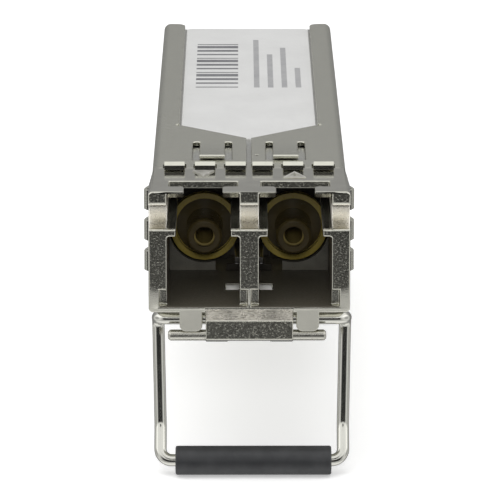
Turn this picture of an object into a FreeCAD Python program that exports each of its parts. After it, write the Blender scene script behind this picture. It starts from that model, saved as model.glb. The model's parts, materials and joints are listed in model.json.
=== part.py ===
# Pluggable optical transceiver with two fibre ports and a wire bail, in millimetres
# X runs across, Y from the nose to the rear edge connector, Z up
# The origin lies on the underside centre line at the mouth of the cage
import os
from math import asin, ceil, cos, degrees, radians, sin, sqrt, tan

import FreeCAD, Part

V = FreeCAD.Vector

# Clearances, and how far cuts run past a face and joined shapes into each other
slip = 0.05
seat_slip = 0.02
part_gap = 0.2
overcut = 1.0
bite = 0.1

# Cross-section, built outwards from the fibre ports
port_pitch = 6.25
port_wall = 1.33
core_wall = 0.765
sheet = 0.3
nose_over = 0.15
port_floor = 0.42
plug_h = 4.93
shoulder_t = 0.55
latch_h = 2.1
roof_t = 0.5
port_w = port_pitch - port_wall
body_w = 2 * (port_pitch - port_wall / 2 + core_wall + slip + sheet)
nose_w = body_w + 2 * nose_over
shoulder_low = port_floor + plug_h
shoulder_high = shoulder_low + shoulder_t
roof_low = shoulder_high + latch_h
height = roof_low + roof_t

# Lengths from the mouth of the cage
nose_len = 6.9
body_len = 49.6
front = -nose_len
port_end = 3.1
floor_stop = 2.7

# Fibre ports
ferrule_up = 2.45
shoulder_gap = 3.72
shoulder_round = 0.18
lip_len = 1.6
notch_w = 2.63
catch_w = 4.67
catch_len = 1.5
catch_round = 0.35
lead_in = 0.45
pocket_h = 1.2
pocket_depth = 0.8
pocket_out = 0.54
pocket_rib = 0.25
axis_z = port_floor + ferrule_up

# Direction marks on the nose roof, a full and an outlined triangle
mark_w = 1.5
mark_len = 1.6
mark_back = 0.95
mark_t = 0.1
mark_line = 0.22
mark_step = 0.3

# Nose outside
nose_corner = 0.3
nose_taper = 0.25
taper_len = 4.0
scoop_land = 1.0
scoop_r = 1.6
rake_top = 1.9
rake_back = 0.2
ear_in = 3.2
ear_w = 1.55
ear_low = -1.39
ear_t = 0.2
ear_round = 0.45

# Bail bearing block under the nose
block_w = 5.94
block_low = -2.25
block_back = 2.3
block_out = 0.45
block_wall = 0.35
block_edge = 0.08
brow_top = 0.3
brow_low = -0.38
chin_h = 0.5
chin_run = 0.85

# Frame behind the nose
frame_wall = 0.7
frame_tail = 2.5
floor_t = 0.65
floor_short = 1.0
ledge_w = 0.6
ledge_inset = 2.0
snap_first = 14.0
snap_pitch = 19.0
snap_len = 2.2
snap_h = 1.2
snap_z = 4.2
snap_out = 0.2
frame_low = sheet + seat_slip
frame_top = height - sheet - slip

# Case
case_round = 0.55
seam_w = 0.35
rail_w = 1.7
rail_round = 0.8
vee_side = 13.3
vee_apex = 9.0
relief_r = 0.28
tongue_x = 2.57
tongue_w = 1.78
tongue_gap = 0.49
tongue_root = 7.7
tongue_tip = 2.5
tongue_bend = 0.5
tongue_lift = 0.22
tongue_curl = 0.16
pinhole_r = 0.14
pinhole_x = 0.55
pinhole_y = 3.9
rear_rail = 0.8
rail_in = body_w / 2 - rail_w

# Grounding fingers round the mouth of the case
finger_w = 1.42
finger_slit = 0.08
finger_t = 0.22
finger_root = 1.3
finger_lap = 0.4
finger_knee = 0.35
finger_crest = -0.45
finger_tip = -0.85
finger_rise = 0.57
finger_drop = 0.19
finger_clear = 0.06
finger_seam = 0.045
finger_edge = 0.3
finger_steps = 2
side_pitch = 2.175
finger_in = seam_w / 2 + finger_seam + finger_w / 2
finger_out = body_w / 2 - case_round - finger_edge - finger_w / 2

# Lid and label
lid_t = 0.6
lid_lip = 0.5
lid_inset = 0.25
label_t = 0.08
label_gap = 0.15
label_lead = 1.2
label_margin = 0.2
label_round = 0.5
label_low = height - sheet - seat_slip - label_t
lid_low = label_low - lid_t
lid_end = body_len - lid_inset
wall_top = lid_low - slip

# Optical subassemblies, from the ring's face rearwards
ring_r = 2.44
ring_bore = 2.04
ring_back = 2.55
flange_t = 0.75
flange_web = 0.3
tail_r = 2.12
disc_t = 1.8
disc_web = 0.6
tail_len = 1.8
light_r = 0.45
barrel_r = 1.25
barrel_bevel = 0.15
barrel_lip_r = 0.72
barrel_lip_len = 0.6
sleeve_bore_r = 0.635
sleeve_r = 0.83
sleeve_len = 4.26
cap_r = 1.78
header_r = 2.3
header_gap = 0.6
header_t = 1.1
ring_face = port_end + ring_back
flange_end = ring_face + flange_t
cup_end = flange_end - flange_web
disc_end = flange_end + disc_t
tail_end = disc_end + tail_len
sleeve_stop = disc_end - disc_web
sleeve_start = sleeve_stop - sleeve_len - 2 * seat_slip
barrel_face = sleeve_start - barrel_lip_len
header_start = tail_end + header_gap
header_end = header_start + header_t

# Holder of the optical subassemblies
holder_len = 3.05
holder_end = flange_end + slip + holder_len
holder_top = lid_low - lid_lip - part_gap

# Circuit board
pcb_low = 2.25
pcb_t = 1.0
pcb_side = 0.1
pcb_inset = 3.2
pcb_tail_len = 8.9
pcb_tail_w = 9.2
pcb_bevel = 0.3
lead_free = 3.4
lead_lap = 1.5
lead_w = 0.4
lead_t = 0.2
lead_pitch = 1.8
pad_count = 10
pad_pitch = 0.8
pad_w = 0.55
pad_len = 2.4
pad_t = 0.04
pad_margin = 0.5
pcb_w = body_w - 2 * (sheet + slip + frame_wall + pcb_side)
pcb_top = pcb_low + pcb_t
pcb_start = header_end + lead_free
pcb_end = body_len - pcb_inset
pcb_tail = pcb_end - pcb_tail_len
frame_end = pcb_tail + frame_tail
floor_end = frame_end - floor_short

# Pieces on the circuit board
driver_size = 4.0
amplifier_size = 3.0
controller_size = 5.0
chip_t = 0.9
chip_bevel = 0.1
passive_w = 0.5
passive_len = 1.0
capacitor_t = 0.5
resistor_t = 0.35
inductor_w = 0.8
inductor_len = 1.6
row_pitch = 2.2
chip_row = pcb_start + driver_size / 2 + ledge_inset + row_pitch / 2
front_rows = chip_row + driver_size / 2 + row_pitch / 2
controller_row = front_rows + 2 * row_pitch + controller_size / 2
rear_rows = controller_row + controller_size / 2 + row_pitch / 2
column = pcb_w / 8

# Bail
wire_r = 0.425
wire_run = 0.03
journal_back = 1.45
journal_z = -0.746
leg_inset = 0.42
leg_taper = 0.15
leg_back = 2.0
leg_len = 7.52
grip_drop = 9.86
grip_forward = 1.0
bend_r = 0.8
kink_r = 1.6
bend_step = 30.0
bail_lean = 11.5
bail_swing = 158.0
bail_shift = 0.17
cam_r = 0.25
cam_throw = 0.17
cam_play = 0.07
cam_inner = 0.3
cam_outer = 1.75
grip_r = 1.0
grip_len = 10.7
grip_shift = 0.28
grip_run = 0.02
leg_x = nose_w / 2 - leg_inset
journal_y = front + journal_back
journal = V(0, journal_y, journal_z)

# Latch lever, drawn latched and then turned to the released rest position
pivot_ahead = 1.3
pivot_z = 0.0
pivot_r = 0.3
pivot_half = 2.25
pivot_run = 0.03
eye_r = 0.48
eye_w = 3.2
eye_room = 0.5
ear_eye_r = 0.62
lever_w = 2.6
lever_side = 0.15
arm_nose = 0.23
arm_flat = 0.55
arm_t = 0.5
arm_bevel = 0.4
web_w = 0.6
web_side = 0.12
web_h = 0.58
web_rise = 1.2
pad_w = 2.0
pad_h = 0.48
pad_lead = 1.05
pad_tail = 2.1
pad_room = 0.4
pad_lift = 0.75
boss_w = 1.6
boss_front = 4.6
boss_flat = 0.8
boss_drop = 0.45
sill_h = 0.43
spring_t = 0.1
spring_len = 2.2
spring_room = 0.95
pivot_y = -pivot_ahead
pad_low = sheet + slip + seat_slip
web_top = pad_low + web_h
slot_w = web_w + 2 * web_side
slot_top = web_top + spring_room
window_w = lever_w + 2 * lever_side
pad_start = boss_front - pad_lead
pad_stop = boss_front + pad_tail
sill_stop = pad_start - part_gap
sill_top = pad_low + sill_h

# Retaining pin behind the ears
stop_pin_r = 0.38
stop_pin_run = 0.02
stop_pin_back = 0.72
stop_pin_z = -1.735
stop_pin_len = 10.8
stop_pin_shift = -0.15
stop_pin_bevel = 0.15


def box(x0, x1, y0, y1, z0, z1):
    return Part.makeBox(x1 - x0, y1 - y0, z1 - z0, V(x0, y0, z0))


def centred(width, y0, y1, z0, z1, x=0.0):
    return box(x - width / 2, x + width / 2, y0, y1, z0, z1)


def rod_x(r, x0, x1, y, z):
    return Part.makeCylinder(r, x1 - x0, V(x0, y, z), V(1, 0, 0))


def rod_y(r, x, z, y0, y1):
    return Part.makeCylinder(r, y1 - y0, V(x, y0, z), V(0, 1, 0))


def rod_z(r, x, y, z0, z1):
    return Part.makeCylinder(r, z1 - z0, V(x, y, z0))


def side_prism(points, x0, x1):
    loop = [V(x0, y, z) for y, z in points]
    return Part.Face(Part.makePolygon(loop + loop[:1])).extrude(V(x1 - x0, 0, 0))


def plan_prism(points, z0, z1):
    loop = [V(x, y, z0) for x, y in points]
    return Part.Face(Part.makePolygon(loop + loop[:1])).extrude(V(0, 0, z1 - z0))


def across_nose(edges):
    # A side-view outline of edges drawn out over more than the nose's width
    face = Part.Face(Part.Wire(edges))
    face.translate(V(-nose_w, 0, 0))
    return face.extrude(V(2 * nose_w, 0, 0))


def turned(points, x, z):
    # A closed profile of (radius, y) turned about the fibre axis
    loop = [V(x + r, y, z) for r, y in points]
    face = Part.Face(Part.makePolygon(loop + loop[:1]))
    return face.revolve(V(x, 0, z), V(0, 1, 0), 360)


def mirrored(shape):
    return shape.mirror(V(0, 0, 0), V(1, 0, 0))


def both_sides(shape):
    return [shape, mirrored(shape)]


def moved(shape, x, y, z):
    copy = shape.copy()
    copy.translate(V(x, y, z))
    return copy


def united(shapes):
    return shapes[0].multiFuse(shapes[1:])


def long_edges(shape, axis):
    # Straight edges that run along one axis
    found = []
    for edge in shape.Edges:
        if isinstance(edge.Curve, Part.Line):
            along = edge.tangentAt(edge.FirstParameter)
            if along.cross(axis).Length < seat_slip:
                found.append(edge)
    return found


def edges_near(shape, axis, points):
    # Straight edges along one axis that pass the given points
    found = []
    for edge in long_edges(shape, axis):
        for p in points:
            off = edge.CenterOfMass - p
            off = off - axis * off.dot(axis)
            if off.Length < seat_slip:
                found.append(edge)
    return found


def rims(shape):
    return [e for e in shape.Edges if isinstance(e.Curve, Part.Circle)]


def rounded_bar(width, y0, y1, z0, z1, r):
    bar = centred(width, y0, y1, z0, z1)
    return bar.makeFillet(r, long_edges(bar, V(0, 1, 0)))


def port_centres():
    return (-port_pitch / 2, port_pitch / 2)


# Nose casting and frame
def catch_notch(x):
    # The opening in the roof that takes the plug's latch, narrow between two lips
    low = roof_low - bite
    high = height + overcut
    wide_start = front + lip_len
    throat = centred(notch_w, front - overcut, wide_start + bite, low, high, x)
    wide = centred(catch_w, wide_start, wide_start + catch_len, low, high, x)
    tee = throat.fuse(wide).removeSplitter()
    corners = [V(x + s * notch_w / 2, wide_start, 0) for s in (-1, 1)]
    return tee.makeFillet(catch_round, edges_near(tee, V(0, 0, 1), corners))


def port_cut(x):
    start = front - overcut
    stop = port_end + overcut
    plug = centred(port_w, start, stop, port_floor, shoulder_low, x)
    corners = [V(x + s * port_w / 2, 0, shoulder_low) for s in (-1, 1)]
    plug = plug.makeFillet(shoulder_round, edges_near(plug, V(0, 1, 0), corners))
    gap = centred(shoulder_gap, start, stop, shoulder_low - bite, shoulder_high + bite, x)
    latch = centred(port_w, start, stop, shoulder_high, roof_low, x)
    ramp = side_prism([(start, roof_low + lead_in), (front, roof_low + lead_in),
                       (front + lead_in + bite, roof_low - bite), (start, roof_low - bite)],
                      x - port_w / 2, x + port_w / 2)
    open_floor = centred(port_w, floor_stop, stop, 0, port_floor + bite, x)
    return united([plug, gap, latch, ramp, open_floor, catch_notch(x)])


def pocket_cut():
    # The shallow step round the foot of a port's mouth
    outer = port_pitch / 2 + port_w / 2 + pocket_out
    return box(pocket_rib / 2, outer, front - overcut, front + pocket_depth,
               port_floor, port_floor + pocket_h)


def scoop_cut():
    # A quarter-round channel across the front of the nose
    top = height - scoop_land
    low = top - scoop_r
    out = front - overcut
    bow = scoop_r * sqrt(0.5)
    p = [V(0, out, top), V(0, front + scoop_r, top), V(0, front, low), V(0, out, low)]
    middle = V(0, front + bow, top - bow)
    return across_nose([Part.makeLine(p[0], p[1]), Part.Arc(p[1], middle, p[2]).toShape(),
                        Part.makeLine(p[2], p[3]), Part.makeLine(p[3], p[0])])


def taper_cut():
    # A wedge off the flank, which draws in towards the case
    side = nose_w / 2
    points = [(side, -taper_len), (side + overcut, -taper_len), (side + overcut, 0), (side - nose_taper, 0)]
    return plan_prism(points, -overcut, height + overcut)


def raked(z):
    # How far the slope of the lower front lies behind the front at a level
    return rake_back * (rake_top - z) / rake_top


def rake_cut():
    # The lower front curves back towards the underside
    r = (rake_top ** 2 + rake_back ** 2) / (2 * rake_back)
    half = asin(rake_top / r) / 2
    top = V(0, front, rake_top)
    middle = V(0, front + r * (1 - cos(half)), rake_top - r * sin(half))
    low = V(0, front + rake_back, 0)
    outer = [V(0, front + rake_back, -overcut), V(0, front - overcut, -overcut),
             V(0, front - overcut, rake_top)]
    return across_nose([Part.Arc(top, middle, low).toShape(), Part.makeLine(low, outer[0]),
                        Part.makeLine(outer[0], outer[1]), Part.makeLine(outer[1], outer[2]),
                        Part.makeLine(outer[2], top)])


def triangle(x, y, width, length, high):
    # A flat triangle whose tip lies length away from its base line at y
    points = [(x - width / 2, y), (x + width / 2, y), (x, y + length)]
    return plan_prism(points, height - bite, high)


def direction_marks():
    tx, rx = port_centres()
    out_mark = triangle(tx, -mark_back, mark_w, -mark_len, height + mark_t)
    base = -mark_back - mark_step - mark_len
    inner_w = mark_w * (1 - 3 * mark_line / mark_len)
    in_mark = triangle(rx, base, mark_w, mark_len, height + mark_t)
    hollow = triangle(rx, base + mark_line, inner_w, mark_len * inner_w / mark_w, height + overcut)
    return [out_mark, in_mark.cut(hollow)]


def ear():
    # A plate that carries the slope of the lower front on downwards
    ear_out = ear_in + ear_w
    points = [(front + raked(z) + t, z) for t, z in ((0, port_floor), (0, ear_low), (ear_t, ear_low),
                                                     (ear_t, port_floor))]
    plate = side_prism(points, ear_in, ear_out)
    corners = [V(ear_in, 0, ear_low), V(ear_out, 0, ear_low)]
    return plate.makeFillet(ear_round, edges_near(plate, V(0, 1, 0), corners))


def bearing_block():
    # A sloping brow under the ports, and the block with the bail's bores
    profile = [(raked(brow_top), brow_top), (block_edge - block_out, brow_low),
               (-block_out, brow_low - block_edge), (-block_out, block_low + chin_h), (chin_run, block_low),
               (block_back, block_low), (block_back, port_floor / 2)]
    block = side_prism([(front + y, z) for y, z in profile], -block_w / 2, block_w / 2)
    gap = centred(window_w, front + block_wall, front + block_back + overcut, block_low - overcut, 0)
    bore = rod_x(wire_r + wire_run, -block_w, block_w, journal_y, journal_z)
    hole = rod_x(stop_pin_r + stop_pin_run, -block_w, block_w, front + stop_pin_back, stop_pin_z)
    return block.cut(united([gap, bore, hole]))


def pivot_ear():
    x0 = eye_w / 2 + slip
    eye = rod_x(ear_eye_r, x0, pivot_half, pivot_y, pivot_z)
    root = box(x0, pivot_half, pivot_y - ear_eye_r, pivot_y + ear_eye_r, pivot_z, port_floor / 2)
    return eye.fuse(root)


def lever_room():
    # Space in the floor and in the wall between the ports for the lever's travel
    start = pivot_y - eye_r - eye_room
    window = centred(eye_w + 2 * slip, start, pivot_y + eye_r + part_gap, -bite, port_floor + bite)
    slot = centred(slot_w, start, port_end + overcut, -bite, slot_top)
    return window.fuse(slot)


def frame_side():
    x1 = body_w / 2 - sheet - slip
    x0 = x1 - frame_wall
    wall = box(x0, x1, port_end - bite, frame_end, frame_low, wall_top)
    ledge = box(x0 - ledge_w, x0, pcb_start + ledge_inset, pcb_tail - ledge_inset, frame_low, pcb_low)
    return wall.fuse(ledge)


def snaps(inset, x0, x1):
    return [box(x0, x1, y - snap_len / 2 + inset, y + snap_len / 2 - inset,
                snap_z - snap_h / 2 + inset, snap_z + snap_h / 2 - inset)
            for y in (snap_first, snap_first + snap_pitch)]


def frame():
    # The walls, floor and port block inside the case, rounded to suit its bends
    core_w = body_w - 2 * sheet - 2 * slip
    core = centred(core_w, -part_gap, port_end, frame_low, frame_top)
    floor = centred(core_w, header_end + part_gap, floor_end, frame_low, frame_low + floor_t)
    envelope = rounded_bar(core_w, -overcut, frame_end, frame_low, frame_top, case_round - sheet)
    body = united([core, floor] + both_sides(frame_side())).common(envelope)
    catches = snaps(slip, core_w / 2 - bite, core_w / 2 + snap_out)
    return united([body] + catches + [mirrored(c) for c in catches])


def nose_base():
    nose = rounded_bar(nose_w, front, 0, 0, height, nose_corner)
    nose = nose.cut(united([scoop_cut(), rake_cut()] + both_sides(taper_cut())))
    under = [bearing_block()] + both_sides(ear()) + both_sides(pivot_ear())
    solid = united([nose, frame()] + under)
    cuts = [port_cut(x) for x in port_centres()] + both_sides(pocket_cut())
    cuts += [lever_room(), pivot_pin()]
    solid = solid.cut(united(cuts))
    return united([solid] + direction_marks()).removeSplitter()


# Case
def finger_bar(over):
    # One arched finger over the top edge, on the centre line, its tip clear of a nose that stands over
    root = height
    crest = height + finger_rise
    brink = crest - finger_drop
    low = height + over + finger_clear
    tip = finger_tip - finger_clear
    points = [(finger_root + finger_lap, root - finger_t), (finger_root + finger_lap, root),
              (finger_root, root), (finger_crest + finger_knee, crest - finger_clear),
              (finger_crest, crest), (finger_tip, brink), (tip, low), (tip + finger_t, low),
              (finger_crest, crest - finger_t), (finger_root, root - finger_t)]
    return side_prism(points, -finger_w / 2, finger_w / 2)


def finger_gap():
    return centred(finger_w + 2 * finger_slit, -overcut, finger_root, height - 2 * sheet, height + overcut)


def placed_fingers(shape, side_shape):
    # Copies of a top-edge shape round all four sides of the mouth
    pitch = (finger_out - finger_in) / finger_steps
    places = [finger_in + i * pitch for i in range(finger_steps + 1)]
    at_side = moved(side_shape, 0, 0, body_w / 2 - height)
    at_side.rotate(V(0, 0, 0), V(0, 1, 0), 90)
    below = shape.copy()
    below.rotate(V(0, 0, height / 2), V(0, 1, 0), 180)
    right = [moved(shape, x, 0, 0) for x in places]
    right += [moved(below, x, 0, 0) for x in places[1:]]
    right += [moved(at_side, 0, 0, height / 2 + k * side_pitch) for k in (-1, 0, 1)]
    return right + [mirrored(s) for s in right]


def tongue_slot():
    width = tongue_w + 2 * tongue_gap
    low = height - 2 * sheet
    high = height + overcut
    cut = centred(width, tongue_tip - bite, tongue_root, low, high, tongue_x)
    corners = [rod_z(relief_r, tongue_x + s * (width / 2 - relief_r), tongue_root, low, high)
               for s in (-1, 1)]
    return united([cut] + corners)


def tongue():
    low = height - sheet
    tip = low + tongue_lift
    curl = tip + tongue_curl
    bend = tongue_tip + tongue_bend
    root = tongue_root + finger_lap
    points = [(root, low), (tongue_root, low), (bend, tip), (tongue_tip, curl), (tongue_tip, curl + sheet),
              (bend, tip + sheet), (tongue_root, height), (root, height)]
    return side_prism(points, tongue_x - tongue_w / 2, tongue_x + tongue_w / 2)


def top_window():
    # The open top between the rails, with a vee at its front
    low = height - 2 * sheet
    end = body_len + overcut
    points = [(-rail_in, vee_side), (0, vee_apex), (rail_in, vee_side), (rail_in, end), (-rail_in, end)]
    opening = plan_prism(points, low, height + overcut)
    reliefs = [rod_z(relief_r, s * rail_in, vee_side, low, height + overcut) for s in (-1, 1)]
    return united([opening] + reliefs)


def under_openings():
    boss = centred(boss_w + 2 * lever_side, boss_front - part_gap, pad_stop + part_gap, -overcut, 2 * sheet)
    rear = centred(body_w - 2 * rear_rail, floor_end + part_gap, body_len + overcut, -overcut, 2 * sheet)
    return boss.fuse(rear)


def case_wrap():
    outer = rounded_bar(body_w, 0, body_len, 0, height, case_round)
    inner = rounded_bar(body_w - 2 * sheet, -overcut, body_len + overcut, sheet, height - sheet,
                        case_round - sheet)
    seam = centred(seam_w, -overcut, vee_side, height - 2 * sheet, height + overcut)
    pinhole = rod_z(pinhole_r, pinhole_x, pinhole_y, height - 2 * sheet, height + overcut)
    cuts = [seam, top_window(), under_openings(), pinhole] + snaps(0, -nose_w, nose_w)
    cuts += both_sides(tongue_slot()) + placed_fingers(finger_gap(), finger_gap())
    shell = outer.cut(inner).cut(united(cuts))
    ends = [V(s * rail_in, body_len, 0) for s in (-1, 1)]
    shell = shell.makeFillet(rail_round, edges_near(shell, V(0, 0, 1), ends))
    added = both_sides(tongue()) + placed_fingers(finger_bar(0), finger_bar(nose_over))
    return united([shell] + added).removeSplitter()


def inner_lid():
    plate = centred(body_w - 2 * (sheet + 2 * slip), port_end + slip, lid_end, lid_low, label_low)
    lip_w = body_w - 2 * (sheet + slip + frame_wall + slip)
    lip_start = holder_end + slip
    lip = centred(lip_w, lip_start, frame_end, lid_low - lid_lip, lid_low)
    hollow = centred(lip_w - 2 * lid_lip, lip_start + lid_lip, frame_end + overcut,
                     lid_low - lid_lip - overcut, lid_low)
    return plate.fuse(lip.cut(hollow)).removeSplitter()


def label():
    strip = centred(2 * (rail_in - label_gap), vee_apex + label_lead, lid_end - label_margin,
                    label_low, label_low + label_t)
    return strip.makeFillet(label_round, long_edges(strip, V(0, 0, 1)))


# Optical subassemblies
def receptacle(x):
    bore = sleeve_r + seat_slip
    seat = cap_r + slip
    profile = [(barrel_lip_r, barrel_face), (barrel_r - barrel_bevel, barrel_face),
               (barrel_r, barrel_face + barrel_bevel), (barrel_r, cup_end), (ring_bore, cup_end),
               (ring_bore, ring_face), (ring_r, ring_face),
               (ring_r, flange_end), (tail_r, flange_end), (tail_r, tail_end), (seat, tail_end),
               (seat, disc_end), (light_r, disc_end), (light_r, sleeve_stop), (bore, sleeve_stop),
               (bore, sleeve_start), (barrel_lip_r, sleeve_start)]
    return turned(profile, x, axis_z)


def ferrule_sleeve(x):
    start = sleeve_start + seat_slip
    end = start + sleeve_len
    return turned([(sleeve_bore_r, start), (sleeve_r, start), (sleeve_r, end), (sleeve_bore_r, end)],
                  x, axis_z)


def optical_can(x):
    cap = rod_y(cap_r, x, axis_z, disc_end + slip, header_start + bite)
    return cap.fuse(rod_y(header_r, x, axis_z, header_start, header_end)).removeSplitter()


def leads(x):
    levels = (pcb_low - lead_t, pcb_top)
    return Part.makeCompound([centred(lead_w, header_end, pcb_start + lead_lap, z, z + lead_t,
                                      x + s * lead_pitch / 2) for s in (-1, 1) for z in levels])


def osa_holder():
    half = body_w / 2 - sheet - slip - frame_wall - slip
    wall_start = flange_end + slip
    block = centred(2 * half, port_end + slip, holder_end, frame_low, holder_top)
    chamber = box(port_wall / 2, half + overcut, port_end, wall_start, 0, holder_top + overcut)
    pad = centred(window_w, sill_stop, pad_stop + pad_room, 0, pad_low + pad_h + pad_lift)
    sill = box(port_wall / 2 - bite, eye_w / 2, port_end + slip, sill_stop, frame_low, sill_top)
    bores = [rod_y(tail_r + seat_slip, x, axis_z, wall_start - bite, holder_end + overcut)
             for x in port_centres()]
    block = block.cut(united([lever_room(), pad] + both_sides(chamber) + bores))
    return united([block] + both_sides(sill)).removeSplitter()


# Circuit board
def circuit_board():
    half = pcb_w / 2
    tail = pcb_tail_w / 2
    right = [(half, pcb_start), (half, pcb_tail), (tail, pcb_tail), (tail, pcb_end)]
    left = [(-x, y) for x, y in reversed(right)]
    board = plan_prism(right + left, pcb_low, pcb_top)
    ends = [V(0, pcb_end, pcb_low), V(0, pcb_end, pcb_top)]
    return board.makeChamfer(pcb_bevel, edges_near(board, V(1, 0, 0), ends))


def edge_contacts():
    y1 = pcb_end - pad_margin
    first = -(pad_count - 1) * pad_pitch / 2
    levels = (pcb_low - pad_t, pcb_top)
    return Part.makeCompound([centred(pad_w, y1 - pad_len, y1, z, z + pad_t, first + i * pad_pitch)
                              for i in range(pad_count) for z in levels])


def chip(x, y, size):
    top = pcb_top + chip_t
    body = box(x - size / 2, x + size / 2, y - size / 2, y + size / 2, pcb_top, top)
    return body.makeChamfer(chip_bevel, [e for e in body.Edges if e.BoundBox.ZMin > top - bite])


def passives(width, length, tall, columns, rows):
    return Part.makeCompound([centred(width, y, y + length, pcb_top, pcb_top + tall, x * column)
                              for x in columns for y in rows])


# Latch lever
def cam_low(angle):
    # How far the cam's lowest line hangs below the journal's axis with the bail at an angle
    return cam_throw * cos(radians(angle)) + cam_r


def lever_swing():
    # Angle that the cam's lift turns the lever through
    return degrees((cam_low(0) - cam_low(bail_swing) - seat_slip / 2) / (pivot_y - journal_y))


def latched_lever():
    half = lever_w / 2
    arm_top = journal_z - cam_low(bail_swing) - cam_play
    tip = journal_y - arm_nose
    bend = journal_y + arm_flat
    arm_points = [(tip, arm_top), (bend, arm_top), (pivot_y, pivot_z + eye_r / 2),
                  (pivot_y, pivot_z - eye_r), (bend, arm_top - arm_t),
                  (tip + arm_bevel, arm_top - arm_t), (tip, arm_top - bite)]
    web_stop = pad_start + bite
    web_points = [(pivot_y, pivot_z), (pivot_y, pivot_z + eye_r - slip), (pivot_y + web_rise, web_top),
                  (web_stop, web_top), (web_stop, pad_low), (-part_gap, pad_low)]
    boss_points = [(boss_front, pad_low + bite), (boss_front, -boss_drop),
                   (boss_front + boss_flat, -boss_drop), (pad_stop, pad_low), (pad_stop, pad_low + bite)]
    solids = [side_prism(arm_points, -half, half), rod_x(eye_r, -eye_w / 2, eye_w / 2, pivot_y, pivot_z),
              side_prism(web_points, -web_w / 2, web_w / 2),
              centred(pad_w, pad_start, pad_stop, pad_low, pad_low + pad_h),
              side_prism(boss_points, -boss_w / 2, boss_w / 2)]
    return united(solids).cut(rod_x(pivot_r + pivot_run, -lever_w, lever_w, pivot_y, pivot_z))


def latch_lever():
    lever = latched_lever().removeSplitter()
    lever.rotate(V(0, pivot_y, pivot_z), V(1, 0, 0), lever_swing())
    return lever


def pivot_pin():
    return rod_x(pivot_r, -pivot_half, pivot_half, pivot_y, pivot_z)


def latch_spring():
    # A bowed leaf between the lever's web and the roof of its slot
    stop = port_end - part_gap
    start = stop - spring_len
    slope = tan(radians(lever_swing()))
    a, b = [V(0, y, web_top + (y - pivot_y) * slope + seat_slip + spring_t) for y in (start, stop)]
    crown = V(0, (start + stop) / 2, slot_top - seat_slip)
    down = V(0, 0, -spring_t)
    edges = [Part.Arc(a, crown, b).toShape(), Part.makeLine(b, b + down),
             Part.Arc(b + down, crown + down, a + down).toShape(), Part.makeLine(a + down, a)]
    leaf = Part.Face(Part.Wire(edges))
    leaf.translate(V(-web_w / 2, 0, 0))
    return leaf.extrude(V(web_w, 0, 0))


# Bail
def wire_bend(corner, into, out, bend, r):
    # A tangent bend as a loft of round sections, a few degrees apart
    turn = into.getAngle(out)
    axis = into.cross(out).normalize()
    start = corner - into * bend * tan(turn / 2)
    steps = ceil(degrees(turn) / bend_step)
    section = Part.Wire(Part.makeCircle(r, start, into))
    sections = []
    for i in range(steps + 1):
        copy = section.copy()
        copy.rotate(start + axis.cross(into) * bend, axis, degrees(turn) * i / steps)
        sections.append(copy)
    return Part.makeLoft(sections, True, True)


def bent_wire(points, bends, r):
    # A round wire along straight runs joined by tangent bends
    pieces = []
    start = points[0]
    for before, corner, after, bend in zip(points, points[1:], points[2:], bends):
        into = (corner - before).normalize()
        out = (after - corner).normalize()
        back = bend * tan(into.getAngle(out) / 2)
        pieces.append(Part.makeCylinder(r, (corner - into * back - start).Length, start, into))
        pieces.append(wire_bend(corner, into, out, bend, r))
        start = corner + out * back
    last = points[-1] - start
    pieces.append(Part.makeCylinder(r, last.Length, start, last))
    return united(pieces).removeSplitter()


def half_bail():
    leg_y = journal_y + leg_back
    low_x = leg_x - leg_taper
    grip_y = leg_y - grip_forward
    grip_z = journal_z - grip_drop
    points = [V(cam_outer, journal_y, journal_z), V(leg_x, journal_y, journal_z),
              V(leg_x, leg_y, journal_z), V(low_x, leg_y, journal_z - leg_len),
              V(low_x, grip_y, grip_z), V(0, grip_y, grip_z)]
    wire = bent_wire(points, [bend_r, bend_r, kink_r, bend_r], wire_r)
    wire.rotate(journal, V(-1, 0, 0), bail_lean)
    cam = rod_x(cam_r, cam_inner, cam_outer + part_gap, journal_y, journal_z - cam_throw)
    return wire.fuse(cam)


def bail_wire():
    # The whole wire, a little to one side within its play
    half = half_bail()
    return moved(half.fuse(mirrored(half)).removeSplitter(), bail_shift, 0, 0)


def grip_sleeve():
    y = journal_y + leg_back - grip_forward
    z = journal_z - grip_drop
    tube = rod_x(grip_r, grip_shift - grip_len / 2, grip_shift + grip_len / 2, y, z)
    grip = tube.cut(rod_x(wire_r + grip_run, -grip_len, grip_len, y, z))
    grip.rotate(journal, V(-1, 0, 0), bail_lean)
    return grip


def stop_pin():
    x0 = stop_pin_shift - stop_pin_len / 2
    pin = rod_x(stop_pin_r, x0, x0 + stop_pin_len, front + stop_pin_back, stop_pin_z)
    return pin.makeChamfer(stop_pin_bevel, rims(pin))


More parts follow.
